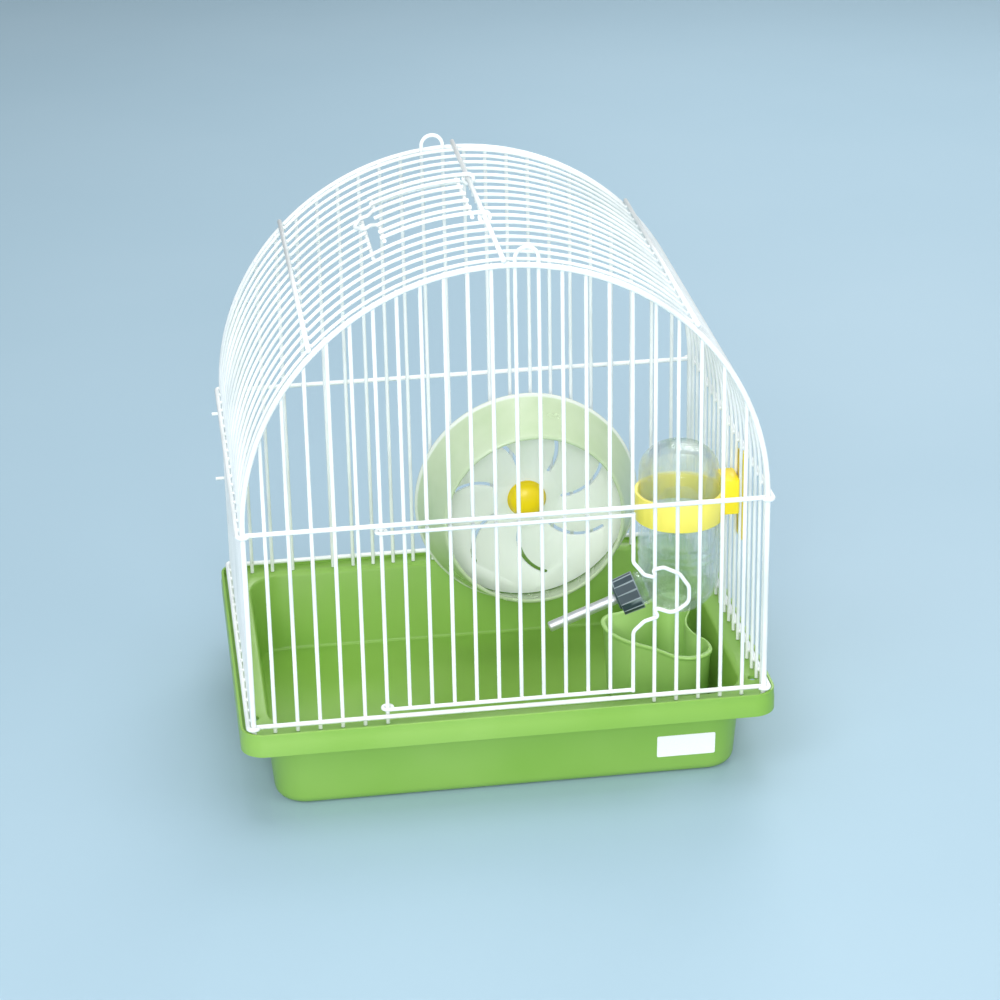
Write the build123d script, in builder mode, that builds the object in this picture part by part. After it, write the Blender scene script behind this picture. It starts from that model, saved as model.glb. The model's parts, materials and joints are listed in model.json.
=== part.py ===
from build123d import *
from math import atan, cos, degrees, radians, sin, sqrt, tan
import os

# Domed wire hamster cage standing in a moulded plastic tray.
# The origin is on the floor under the middle of the tray. The front faces -Y and +Z is up.

# Tray
rim_width = 270.0
rim_depth = 204.0
rim_corner = 12.0
tub_width = 236.0
tub_depth = 172.0
tub_corner = 16.0
tub_draft = 5.0
tray_wall = 2.0
ledge_height = 46.5
lip_height = 50.0
skirt_bottom = 38.0
lip_wall = 1.8

# Wire panels and the arched sheet
pitch = 11.2
bar_spaces = 23
bar_radius = 1.0
frame_radius = 1.4
rail_radius = 1.2
sheet_radius = 0.9
weld_gap = 0.02
bar_plane = 93.0
foot_height = 47.0
base_height = 51.6
spring_height = 155.5
arch_radius = 128.8
sheet_pitch = 11.0
sheet_half_count = 8
eye_top = 292.5

# Doors
door_first_bar = 6
door_last_bar = 17
hinge_gap = 0.35
door_top = 151.5
door_bottom = 55.6
latch_middle = 107.5
roof_half_width = 30.8
roof_door_angle = 22.0
roof_sill_angle = 25.0
roof_latch_middle = 6.0

# Wheel
wheel_height = 88.2
wheel_back_radius = 60.5
wheel_front_radius = 49.5
wheel_back = 76.5
wheel_front = 44.0
wheel_wall = 1.5
axle_radius = 2.5
slot_count = 7

# Bottle
bottle_x = 98.0
bottle_y = -27.5
bottle_radius = 21.0
bottle_wall = 1.2
bottle_low_centre = 86.0
bottle_shoulder = 143.0
bottle_top = 159.0
spout_slope = 21.0
spout_tip = 73.0

# Bowl
bowl_height = 41.0
bowl_wall = 1.6

panel_half = pitch * bar_spaces / 2
frame_plane = bar_plane + bar_radius + frame_radius + weld_gap
rail_plane = bar_plane + bar_radius + rail_radius + weld_gap
cross_radius = arch_radius + sheet_radius + rail_radius + weld_gap
frame_arch = cross_radius - rail_radius - frame_radius - weld_gap
rail_end = frame_arch - frame_radius - weld_gap
door_plane = bar_plane + 2 * bar_radius + hinge_gap

os.makedirs("parts", exist_ok=True)


def finish(piece, label):
    piece.part.label = label
    export_step(piece.part, "parts/" + label + ".step")


def bar_x(index):
    return index * pitch - panel_half


def arch_point(radius, angle):
    """Point of an arch in the XZ plane; angle counts from the ridge towards +X."""
    return (radius * sin(radians(angle)), spring_height + radius * cos(radians(angle)))


def sweep_wire(path, radius):
    with BuildSketch(Plane(origin=path @ 0, z_dir=path % 0)) as section:
        Circle(radius)
    sweep(sections=section.sketch, path=path)


def upright(x, y, low, high, radius):
    with BuildSketch(Plane.XY.offset(low)) as section:
        with Locations((x, y)):
            Circle(radius)
    extrude(section.sketch, amount=high - low)


def lengthwise(x, z, y_low, y_high, radius):
    with BuildSketch(Plane.XZ.offset(-y_high)) as section:
        with Locations((x, z)):
            Circle(radius)
    extrude(section.sketch, amount=y_high - y_low)


def crosswise(y, z, x_low, x_high, radius):
    with BuildSketch(Plane.YZ.offset(x_low)) as section:
        with Locations((y, z)):
            Circle(radius)
    extrude(section.sketch, amount=x_high - x_low)


# ---- Tray: a tapered tub with a ledge that carries the wire feet, inside a raised lip ----

tub_spread = 2 * ledge_height * tan(radians(tub_draft))

with BuildPart() as tray:
    with BuildSketch():
        RectangleRounded(tub_width, tub_depth, tub_corner)
    extrude(amount=ledge_height, taper=-tub_draft)
    fillet(tray.faces().sort_by(Axis.Z)[0].edges(), 5)
    with BuildSketch(Plane.XY.offset(skirt_bottom)):
        RectangleRounded(rim_width, rim_depth, rim_corner)
    extrude(amount=lip_height - skirt_bottom)
    fillet(tray.faces().sort_by(Axis.Z)[-1].outer_wire().edges(), 0.8)
    with BuildSketch(Plane.XY.offset(skirt_bottom)):
        RectangleRounded(rim_width - 2 * lip_wall, rim_depth - 2 * lip_wall, rim_corner - lip_wall)
        RectangleRounded(tub_width + tub_spread, tub_depth + tub_spread, tub_corner + 2, mode=Mode.SUBTRACT)
    extrude(amount=ledge_height - tray_wall - skirt_bottom, mode=Mode.SUBTRACT)
    with BuildSketch(Plane.XY.offset(ledge_height)):
        RectangleRounded(rim_width - 2 * lip_wall, rim_depth - 2 * lip_wall, rim_corner - lip_wall)
    extrude(amount=lip_height, mode=Mode.SUBTRACT)
    with BuildSketch(Plane.XY.offset(tray_wall + 0.6)):
        RectangleRounded(tub_width - 2 * tray_wall, tub_depth - 2 * tray_wall, tub_corner - tray_wall)
    extrude(amount=lip_height, taper=-tub_draft, mode=Mode.SUBTRACT)
    with BuildSketch(Plane.XY.offset(ledge_height - tray_wall - 1)):
        with GridLocations(2 * 127.0, 2 * 76.0, 2, 2):
            Circle(2.4)
    extrude(amount=tray_wall + 2, mode=Mode.SUBTRACT)
finish(tray, "tray")

# ---- Label: a blank sticker on the front wall of the tub ----

label_height = 17.4
label_y = -(tub_depth / 2 + label_height * tan(radians(tub_draft)) + weld_gap)
label_normal = (0, -cos(radians(tub_draft)), -sin(radians(tub_draft)))

with BuildPart() as label_sticker:
    with BuildSketch(Plane(origin=(90.5, label_y, label_height), x_dir=(1, 0, 0), z_dir=label_normal)):
        RectangleRounded(30, 12.4, 0.8)
    extrude(amount=0.25)
finish(label_sticker, "label_sticker")

# ---- Front and back panels: an arched frame wire, two rails and upright bars ----


def panel_frame(side):
    """Legs and half-round arch of one end panel; side is -1 at the front and 1 at the back."""
    with BuildLine(Plane.XZ.offset(-side * frame_plane)) as path:
        Line((-frame_arch, foot_height), (-frame_arch, spring_height))
        ThreePointArc(
            (-frame_arch, spring_height),
            (0, spring_height + frame_arch),
            (frame_arch, spring_height),
        )
        Line((frame_arch, spring_height), (frame_arch, foot_height))
    sweep_wire(path.line, frame_radius)


def bar_top(x):
    return spring_height + sqrt(frame_arch**2 - x**2)


def eye_wire(side, centre_x, low):
    """A hairpin of two neighbouring bars that meet in a round hanging eye above the arch."""
    bend = pitch / 2
    bend_height = eye_top - bar_radius - bend
    with BuildLine(Plane.XZ.offset(-side * bar_plane)) as path:
        Line((centre_x - bend, low), (centre_x - bend, bend_height))
        ThreePointArc(
            (centre_x - bend, bend_height),
            (centre_x, bend_height + bend),
            (centre_x + bend, bend_height),
        )
        Line((centre_x + bend, bend_height), (centre_x + bend, low))
    sweep_wire(path.line, bar_radius)


with BuildPart() as front_frame:
    panel_frame(-1)
finish(front_frame, "front_frame")

with BuildPart() as back_frame:
    panel_frame(1)
finish(back_frame, "back_frame")

with BuildPart() as front_rails:
    for rail_height in (base_height, spring_height):
        crosswise(-rail_plane, rail_height, -rail_end, rail_end, rail_radius)
finish(front_rails, "front_rails")

with BuildPart() as back_rails:
    for rail_height in (base_height, spring_height):
        crosswise(rail_plane, rail_height, -rail_end, rail_end, rail_radius)
finish(back_rails, "back_rails")

front_full = [i for i in range(1, bar_spaces) if i <= door_first_bar or i > door_last_bar]
front_eye = (12, 13)
front_short = [i for i in range(door_first_bar + 1, door_last_bar + 1) if i not in front_eye]
back_eye = (10, 11)
back_full = [i for i in range(1, bar_spaces) if i not in back_eye]
short_foot = spring_height - rail_radius - 0.8

with BuildPart() as front_bars:
    for index in front_full:
        upright(bar_x(index), -bar_plane, foot_height, bar_top(bar_x(index)), bar_radius)
finish(front_bars, "front_bars")

with BuildPart() as front_upper_bars:
    for index in front_short:
        upright(bar_x(index), -bar_plane, short_foot, bar_top(bar_x(index)), bar_radius)
finish(front_upper_bars, "front_upper_bars")

with BuildPart() as front_eye_wire:
    eye_wire(-1, (bar_x(front_eye[0]) + bar_x(front_eye[1])) / 2, short_foot)
finish(front_eye_wire, "front_eye_wire")

with BuildPart() as back_bars:
    for index in back_full:
        upright(bar_x(index), bar_plane, foot_height, bar_top(bar_x(index)), bar_radius)
finish(back_bars, "back_bars")

with BuildPart() as back_eye_wire:
    eye_wire(1, (bar_x(back_eye[0]) + bar_x(back_eye[1])) / 2, foot_height)
finish(back_eye_wire, "back_eye_wire")

# ---- Arched sheet: one wire after another from the left base over the roof to the right base ----

sheet_places = [k * sheet_pitch for k in range(-sheet_half_count, sheet_half_count + 1)]
whole_places = [y for y in sheet_places if abs(y) > roof_half_width]
cut_places = [y for y in sheet_places if abs(y) < roof_half_width]


def sheet_wire(y, low_angle, high_angle):
    """One roof wire between two arch angles; an end at 90 degrees runs on down its side wall."""
    middle = (low_angle + high_angle) / 2
    with BuildLine(Plane.XZ.offset(-y)) as path:
        if low_angle == -90:
            Line((-arch_radius, foot_height), (-arch_radius, spring_height))
        ThreePointArc(
            arch_point(arch_radius, low_angle),
            arch_point(arch_radius, middle),
            arch_point(arch_radius, high_angle),
        )
        if high_angle == 90:
            Line((arch_radius, spring_height), (arch_radius, foot_height))
    sweep_wire(path.line, sheet_radius)


with BuildPart() as roof_wires_front:
    for place in [y for y in whole_places if y < 0]:
        sheet_wire(place, -90, 90)
finish(roof_wires_front, "roof_wires_front")

with BuildPart() as roof_wires_back:
    for place in [y for y in whole_places if y > 0]:
        sheet_wire(place, -90, 90)
finish(roof_wires_back, "roof_wires_back")

with BuildPart() as roof_wires_middle_left:
    for place in cut_places:
        sheet_wire(place, -90, -roof_sill_angle - 0.4)
finish(roof_wires_middle_left, "roof_wires_middle_left")

with BuildPart() as roof_wires_middle_right:
    for place in cut_places:
        sheet_wire(place, -0.4, 90)
finish(roof_wires_middle_right, "roof_wires_middle_right")

cross_half = frame_plane + frame_radius + 0.8

with BuildPart() as ridge_wire:
    ridge_x, ridge_z = arch_point(cross_radius, 0)
    lengthwise(ridge_x, ridge_z, -cross_half, cross_half, rail_radius)
finish(ridge_wire, "ridge_wire")

with BuildPart() as shoulder_wires:
    for angle in (-45, 45):
        shoulder_x, shoulder_z = arch_point(cross_radius, angle)
        lengthwise(shoulder_x, shoulder_z, -cross_half, cross_half, rail_radius)
finish(shoulder_wires, "shoulder_wires")

with BuildPart() as side_wires:
    for side in (-1, 1):
        for wire_height in (base_height, spring_height):
            lengthwise(side * cross_radius, wire_height, -cross_half, cross_half, rail_radius)
finish(side_wires, "side_wires")

sill_radius = arch_radius - sheet_radius - bar_radius - weld_gap
sill_half = 3 * sheet_pitch + 1.5

with BuildPart() as roof_sill_wire:
    sill_x, sill_z = arch_point(sill_radius, -roof_sill_angle - 0.8)
    lengthwise(sill_x, sill_z, -sill_half, sill_half, bar_radius)
finish(roof_sill_wire, "roof_sill_wire")

with BuildPart() as corner_hooks:
    for hook_height in (104.0, 142.0):
        crosswise(frame_plane, hook_height, -134.4, -frame_arch - frame_radius - weld_gap, 0.9)
finish(corner_hooks, "corner_hooks")

# ---- Front door: hangs on the sixth bar by two curls, and latches over the bars to its right ----

hinge_x = bar_x(door_first_bar)
latch_x = bar_x(door_last_bar)
curl_radius = door_plane - bar_plane
curl_turn = 290


def front_door_rail(height):
    with BuildLine(Plane.XY.offset(height)) as path:
        CenterArc((hinge_x, -bar_plane), curl_radius, 270 - curl_turn, curl_turn)
        Line((hinge_x, -door_plane), (latch_x - bar_radius - weld_gap, -door_plane))
    sweep_wire(path.line, bar_radius)


with BuildPart() as front_door_top_rail:
    front_door_rail(door_top)
finish(front_door_top_rail, "front_door_top_rail")

with BuildPart() as front_door_bottom_rail:
    front_door_rail(door_bottom)
finish(front_door_bottom_rail, "front_door_bottom_rail")

with BuildPart() as front_door_bars:
    for index in range(door_first_bar + 1, door_last_bar):
        upright(
            bar_x(index),
            -(door_plane - 2 * bar_radius - weld_gap),
            door_bottom - bar_radius,
            door_top + bar_radius,
            bar_radius,
        )
finish(front_door_bars, "front_door_bars")

# The latch is one wire: it zigzags through two notches round the next bar, with a finger loop between.
latch_bends = (
    (0, -19.5, 4),
    (5.5, -14.2, 4),
    (12.6, -12.2, 1.2),
    (9.6, -6.6, 1.2),
    (20, -11, 6),
    (28, -5.5, 5),
    (28, 3, 6),
    (23, 10.5, 6),
    (15, 14.6, 4),
    (9.4, 13.6, 1.2),
    (12.6, 8.8, 1.2),
    (5.5, 11.2, 4),
    (0, 18.5, 4),
)

with BuildPart() as front_door_latch_wire:
    with BuildLine(Plane.XZ.offset(door_plane)) as latch_path:
        FilletPolyline(
            (latch_x, door_bottom - bar_radius),
            *[(latch_x + x, latch_middle + z) for x, z, bend in latch_bends],
            (latch_x, door_top + bar_radius),
            radius=[bend for x, z, bend in latch_bends],
        )
    sweep_wire(latch_path.line, bar_radius)
finish(front_door_latch_wire, "front_door_latch_wire")

# ---- Roof door: hangs on the ridge wire by two curls and lies over the gap in the sheet ----

roof_curl_radius = rail_radius + hinge_gap + bar_radius
roof_rail_radius = cross_radius + roof_curl_radius
roof_tie_radius = roof_rail_radius - 2 * bar_radius - weld_gap


def roof_door_rail(y):
    ridge = arch_point(cross_radius, 0)
    with BuildLine(Plane.XZ.offset(-y)) as path:
        CenterArc(ridge, roof_curl_radius, 90 - curl_turn, curl_turn)
        ThreePointArc(
            arch_point(roof_rail_radius, 0),
            arch_point(roof_rail_radius, -roof_door_angle / 2),
            arch_point(roof_rail_radius, -roof_door_angle - 0.5),
        )
    sweep_wire(path.line, bar_radius)


with BuildPart() as roof_door_rails:
    for side in (-1, 1):
        roof_door_rail(side * roof_half_width)
finish(roof_door_rails, "roof_door_rails")

with BuildPart() as roof_door_bars:
    for place in cut_places:
        with BuildLine(Plane.XZ.offset(-place)) as path:
            ThreePointArc(
                arch_point(roof_rail_radius, -2.3),
                arch_point(roof_rail_radius, -roof_door_angle / 2),
                arch_point(roof_rail_radius, -roof_door_angle - 0.5),
            )
        sweep_wire(path.line, bar_radius)
finish(roof_door_bars, "roof_door_bars")

with BuildPart() as roof_door_tie:
    tie_x, tie_z = arch_point(roof_tie_radius, -2.7)
    lengthwise(tie_x, tie_z, -roof_half_width - 0.5, roof_half_width + 0.5, bar_radius)
finish(roof_door_tie, "roof_door_tie")

# The end wire bends out of line in a latch loop that lies over the sill of the gap.
end_x, end_z = arch_point(roof_tie_radius, -roof_door_angle)
end_tilt = radians(roof_door_angle)
end_plane = Plane(origin=(end_x, 0, end_z), x_dir=(0, 1, 0), z_dir=(-sin(end_tilt), 0, cos(end_tilt)))
end_bends = (
    (-12, 0, 3),
    (-7.5, 4, 1.5),
    (-9, 8, 2.5),
    (0, 12.5, 5),
    (9, 8, 2.5),
    (7.5, 4, 1.5),
    (12, 0, 3),
)

with BuildPart() as roof_door_latch_wire:
    with BuildLine(end_plane) as end_path:
        FilletPolyline(
            (-roof_half_width - 0.5, 0),
            *[(roof_latch_middle + y, drop) for y, drop, bend in end_bends],
            (roof_half_width + 0.5, 0),
            radius=[bend for y, drop, bend in end_bends],
        )
    sweep_wire(end_path.line, bar_radius)
finish(roof_door_latch_wire, "roof_door_latch_wire")

# ---- Wheel: a pale drum with a slotted back disc, turning on an axle clamped to the back bars ----

wheel_x = (bar_x(14) + bar_x(15)) / 2
disc_back = wheel_back - 0.4
disc_thickness = 1.6
disc_radius = wheel_back_radius - wheel_wall - 1.2
hub_front = 71.6
hub_back = 85.0
cap_bore = 4.3

with BuildPart() as wheel_drum:
    with BuildSketch(Plane.YZ.offset(wheel_x)):
        with BuildLine():
            Polyline(
                (wheel_back, wheel_height + wheel_back_radius),
                (wheel_back, wheel_height + wheel_back_radius + 0.9),
                (wheel_back - 2.2, wheel_height + wheel_back_radius + 0.9),
                (wheel_back - 2.2, wheel_height + wheel_back_radius - 0.3),
                (wheel_front + 2, wheel_height + wheel_front_radius),
                (wheel_front, wheel_height + wheel_front_radius - 0.4),
                (wheel_front, wheel_height + wheel_front_radius - 2.1),
                (wheel_front + 1.4, wheel_height + wheel_front_radius - 2.1),
                (wheel_front + 2, wheel_height + wheel_front_radius - wheel_wall),
                (wheel_back, wheel_height + wheel_back_radius - wheel_wall),
                close=True,
            )
        make_face()
    revolve(axis=Axis((wheel_x, 0, wheel_height), (0, 1, 0)))
finish(wheel_drum, "wheel_drum")

# Curved slots in a pinwheel, drawn flat and then stood up behind the disc.
with BuildSketch() as disc_slots:
    with PolarLocations(0, slot_count):
        SlotArc(ThreePointArc((20, 0), (33, 4.5), (42, 20)), 2.2)
slot_plane = Plane(origin=(wheel_x, disc_back + 1, wheel_height), x_dir=(1, 0, 0), z_dir=(0, -1, 0))

with BuildPart() as wheel_disc:
    with BuildSketch(Plane.XZ.offset(-disc_back)):
        with Locations((wheel_x, wheel_height)):
            Circle(disc_radius)
    extrude(amount=disc_thickness)
    with BuildSketch(Plane.XZ.offset(-hub_back)):
        with Locations((wheel_x, wheel_height)):
            Circle(7.5)
    extrude(amount=hub_back - hub_front)
    with BuildSketch(Plane.XZ.offset(-hub_back - 1)):
        with Locations((wheel_x, wheel_height)):
            Circle(axle_radius + 0.06)
    extrude(amount=hub_back - hub_front + 2, mode=Mode.SUBTRACT)
    extrude(slot_plane * disc_slots.sketch, amount=disc_thickness + 2, mode=Mode.SUBTRACT)
finish(wheel_disc, "wheel_disc")

with BuildPart() as wheel_hub_cap:
    with BuildSketch(Plane.XZ.offset(-(disc_back - disc_thickness - weld_gap))):
        with Locations((wheel_x, wheel_height)):
            Circle(10)
            Circle(7.5 + 0.05, mode=Mode.SUBTRACT)
    extrude(amount=cap_bore)
    with BuildSketch(Plane.XZ.offset(-(disc_back - disc_thickness - cap_bore))):
        with Locations((wheel_x, wheel_height)):
            Circle(10)
    extrude(amount=2.6)
    fillet(wheel_hub_cap.faces().sort_by(Axis.Y)[0].edges(), 3.5)
finish(wheel_hub_cap, "wheel_hub_cap")

# The axle's head keeps the hub on; the cap hides it.
with BuildPart() as wheel_axle:
    lengthwise(wheel_x, wheel_height, hub_front - 0.3, 98.5, axle_radius)
    lengthwise(wheel_x, wheel_height, hub_front - 1.1, hub_front - 0.3, axle_radius + 1.6)
finish(wheel_axle, "wheel_axle")

bracket_front = hub_back + 0.4
bracket_back = bar_plane - bar_radius - weld_gap
clamp_front = bar_plane + bar_radius + weld_gap

with BuildPart() as wheel_bracket:
    with BuildSketch(Plane.XZ.offset(-bracket_back)):
        with Locations((wheel_x, wheel_height)):
            RectangleRounded(24, 20, 3)
    extrude(amount=bracket_back - bracket_front)
    fillet(wheel_bracket.faces().sort_by(Axis.Y)[0].edges(), 1)
    with BuildSketch(Plane.XZ.offset(-bracket_back - 1)):
        with Locations((wheel_x, wheel_height)):
            Circle(axle_radius + 0.03)
    extrude(amount=12, mode=Mode.SUBTRACT)
finish(wheel_bracket, "wheel_bracket")

with BuildPart() as wheel_clamp_nut:
    with BuildSketch(Plane.XZ.offset(-(clamp_front + 3.4))):
        with Locations((wheel_x, wheel_height)):
            Circle(9)
            Circle(axle_radius + 0.03, mode=Mode.SUBTRACT)
    extrude(amount=3.4)
finish(wheel_clamp_nut, "wheel_clamp_nut")

# ---- Water bottle: a round-ended bottle with a sloping neck, screw cap and steel spout ----

spout_drop = radians(spout_slope)
spout_direction = (-cos(spout_drop), 0, -sin(spout_drop))
neck_radius = 8.5
neck_end = 28.5
cap_start = 22.8
cap_end = 34.2
cap_radius = 10.4
tube_radius = 2.75
tube_bore = 2.3
ball_radius = 2.2


def spout_plane(distance):
    origin = (
        bottle_x + distance * spout_direction[0],
        bottle_y,
        bottle_low_centre + distance * spout_direction[2],
    )
    return Plane(origin=origin, x_dir=(0, 1, 0), z_dir=spout_direction)


def bottle_body(inset, mode):
    """The closed outline of the bottle, drawn in from its outer face by inset."""
    radius = bottle_radius - inset
    with BuildSketch(Plane.XZ.offset(-bottle_y)) as half:
        with BuildLine():
            ThreePointArc(
                (bottle_x, bottle_low_centre - radius),
                (bottle_x + radius * cos(radians(45)), bottle_low_centre - radius * sin(radians(45))),
                (bottle_x + radius, bottle_low_centre),
            )
            Line((bottle_x + radius, bottle_low_centre), (bottle_x + radius, bottle_shoulder))
            Spline(
                (bottle_x + radius, bottle_shoulder),
                (bottle_x + radius * 0.72, bottle_top - inset - 4.2),
                (bottle_x, bottle_top - inset),
                tangents=((0, 1), (-1, 0)),
            )
            Line((bottle_x, bottle_top - inset), (bottle_x, bottle_low_centre - radius))
        make_face()
    revolve(half.sketch, axis=Axis((bottle_x, bottle_y, 0), (0, 0, 1)), mode=mode)


with BuildPart() as bottle:
    bottle_body(0, Mode.ADD)
    with BuildSketch(spout_plane(10)):
        Circle(neck_radius)
    extrude(amount=neck_end - 10)
    bottle_body(bottle_wall, Mode.SUBTRACT)
    with BuildSketch(spout_plane(10)):
        Circle(neck_radius - bottle_wall)
    extrude(amount=neck_end - 9, mode=Mode.SUBTRACT)
finish(bottle, "bottle")

with BuildPart() as bottle_cap:
    with BuildSketch(spout_plane(cap_start)):
        RegularPolygon(cap_radius, 12)
    extrude(amount=cap_end - cap_start)
    chamfer(bottle_cap.faces().sort_by(Axis((0, 0, 0), spout_direction))[-1].edges(), 1.2)
    with BuildSketch(spout_plane(cap_start - 1)):
        Circle(neck_radius + 0.05)
    extrude(amount=neck_end + 1.6 - cap_start + 1, mode=Mode.SUBTRACT)
    with BuildSketch(spout_plane(cap_start)):
        Circle(tube_radius + 0.03)
    extrude(amount=cap_end, mode=Mode.SUBTRACT)
finish(bottle_cap, "bottle_cap")

with BuildPart() as bottle_seal:
    with BuildSketch(spout_plane(neck_end + 0.02)):
        Circle(neck_radius)
        Circle(tube_radius + 0.03, mode=Mode.SUBTRACT)
    extrude(amount=1.5)
finish(bottle_seal, "bottle_seal")

lip_radius = 1.7
lip_length = 0.6

with BuildPart() as spout_tube:
    with BuildSketch(spout_plane(neck_end - 4)):
        Circle(tube_radius)
    extrude(amount=spout_tip - neck_end + 4)
    fillet(spout_tube.faces().sort_by(Axis((0, 0, 0), spout_direction))[-1].edges(), 0.7)
    with BuildSketch(spout_plane(neck_end - 5)):
        Circle(tube_bore)
    extrude(amount=spout_tip - lip_length - neck_end + 5, mode=Mode.SUBTRACT)
    with BuildSketch(spout_plane(neck_end)):
        Circle(lip_radius)
    extrude(amount=spout_tip, mode=Mode.SUBTRACT)
finish(spout_tube, "spout_tube")

ball_seat = sqrt((ball_radius + 0.03) ** 2 - lip_radius**2)
ball_plane = spout_plane(spout_tip - lip_length - ball_seat)

with BuildPart() as spout_ball:
    with Locations(ball_plane.origin):
        Sphere(ball_radius)
finish(spout_ball, "spout_ball")

# ---- Bottle holder: a ring with a block against the wires, clamped from outside ----

ring_low = 118.5
ring_high = 133.0
ring_gap = 0.35
ring_wall = 1.7
block_low = 120.5
block_high = 139.0
holder_height = 129.0
sheet_inside = arch_radius - sheet_radius - weld_gap
sheet_outside = arch_radius + sheet_radius + weld_gap
block_start = bottle_x + bottle_radius + ring_gap

with BuildPart() as bottle_holder:
    with BuildSketch(Plane.XY.offset(block_low)):
        with Locations(((block_start + sheet_inside) / 2, bottle_y)):
            RectangleRounded(sheet_inside - block_start, 17, 1.5)
    extrude(amount=block_high - block_low)
    with BuildSketch(Plane.XY.offset(ring_low)):
        with Locations((bottle_x, bottle_y)):
            Circle(bottle_radius + ring_gap + ring_wall)
    extrude(amount=ring_high - ring_low)
    with BuildSketch(Plane.XY.offset(ring_low - 10)):
        with Locations((bottle_x, bottle_y)):
            Circle(bottle_radius + ring_gap)
    extrude(amount=60, mode=Mode.SUBTRACT)
finish(bottle_holder, "bottle_holder")

with BuildPart() as holder_clamp:
    with BuildSketch(Plane.YZ.offset(sheet_outside)):
        with Locations((bottle_y, holder_height - 1.5)):
            RectangleRounded(13, 48, 3)
            with Locations((0, 1.5)):
                Circle(1.62, mode=Mode.SUBTRACT)
    extrude(amount=2.2)
finish(holder_clamp, "holder_clamp")

with BuildPart() as holder_screw:
    crosswise(bottle_y, holder_height, sheet_inside + 0.02, sheet_outside + 2.2, 1.6)
    crosswise(bottle_y, holder_height, sheet_outside + 2.22, sheet_outside + 3.6, 3)
finish(holder_screw, "holder_screw")

# ---- Food bowl: a three-lobed cup standing on the tray floor ----

bowl_foot = tray_wall + 0.6 + 0.05
bowl_rim = bowl_foot + bowl_height
bowl_centre = (93.0, -3.0)
bowl_points = (
    (-30, 6),
    (-25, -10),
    (-8, -27),
    (6, -40),
    (19, -37),
    (22, -26),
    (15.5, -10),
    (15, 2),
    (20, 17),
    (21, 29),
    (12, 38),
    (-3, 28),
    (-17, 20),
    (-27, 16),
)


def bowl_outline(height, size):
    """The lobed outline at a height, scaled about the middle of the bowl."""
    with BuildSketch(Plane.XY.offset(height)) as section:
        with BuildLine():
            Spline(
                [(bowl_centre[0] + size * x, bowl_centre[1] + size * y) for x, y in bowl_points],
                periodic=True,
            )
        make_face()
    return section.sketch


with BuildPart() as food_bowl:
    loft([bowl_outline(bowl_foot, 0.9), bowl_outline(bowl_rim, 0.98)])
    extrude(bowl_outline(bowl_rim - 1.6, 1.0), amount=1.6)
    loft(
        [bowl_outline(bowl_foot + bowl_wall, 0.84), bowl_outline(bowl_rim + 0.1, 0.925)],
        mode=Mode.SUBTRACT,
    )
finish(food_bowl, "food_bowl")
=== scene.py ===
import json
import math

import bmesh
import bpy
from mathutils import Matrix, Vector

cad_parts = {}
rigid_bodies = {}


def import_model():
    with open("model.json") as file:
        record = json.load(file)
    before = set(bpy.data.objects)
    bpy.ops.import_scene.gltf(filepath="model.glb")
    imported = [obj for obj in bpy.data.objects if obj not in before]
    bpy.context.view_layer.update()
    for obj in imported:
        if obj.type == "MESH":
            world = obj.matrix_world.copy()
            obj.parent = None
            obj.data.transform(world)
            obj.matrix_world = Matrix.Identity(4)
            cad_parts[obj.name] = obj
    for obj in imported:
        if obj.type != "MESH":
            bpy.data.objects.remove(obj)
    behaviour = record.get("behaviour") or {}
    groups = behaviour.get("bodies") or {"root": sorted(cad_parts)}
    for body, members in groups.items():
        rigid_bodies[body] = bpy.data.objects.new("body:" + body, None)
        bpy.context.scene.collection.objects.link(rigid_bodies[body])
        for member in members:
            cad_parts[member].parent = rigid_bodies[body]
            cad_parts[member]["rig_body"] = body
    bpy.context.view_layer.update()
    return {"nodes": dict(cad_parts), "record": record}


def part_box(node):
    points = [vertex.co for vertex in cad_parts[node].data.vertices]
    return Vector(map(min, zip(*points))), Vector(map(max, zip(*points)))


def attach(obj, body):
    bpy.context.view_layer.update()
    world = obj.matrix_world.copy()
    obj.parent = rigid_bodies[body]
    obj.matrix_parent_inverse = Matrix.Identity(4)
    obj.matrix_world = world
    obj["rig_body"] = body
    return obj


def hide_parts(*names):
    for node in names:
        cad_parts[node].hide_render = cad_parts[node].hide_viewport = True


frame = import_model()
mm = 0.001
fullTurn = 2 * math.pi


def tint(code):
    # hex paint code to the linear colour that shaders use
    parts = [int(code[i:i + 2], 16) / 255 for i in (0, 2, 4)]
    return tuple(p / 12.92 if p <= 0.04045 else ((p + 0.055) / 1.055) ** 2.4 for p in parts) + (1,)


# finishes

class Value:
    # a socket that can be added and multiplied
    def __init__(self, finish, socket):
        self.finish = finish
        self.socket = socket

    def join(self, operation, left, right):
        return self.finish.add("ShaderNodeMath", {"operation": operation}, {0: left, 1: right})

    def __add__(self, other):
        return self.join("ADD", self, other)

    def __radd__(self, other):
        return self.join("ADD", other, self)

    def __mul__(self, other):
        return self.join("MULTIPLY", self, other)

    def __rmul__(self, other):
        return self.join("MULTIPLY", other, self)


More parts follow.
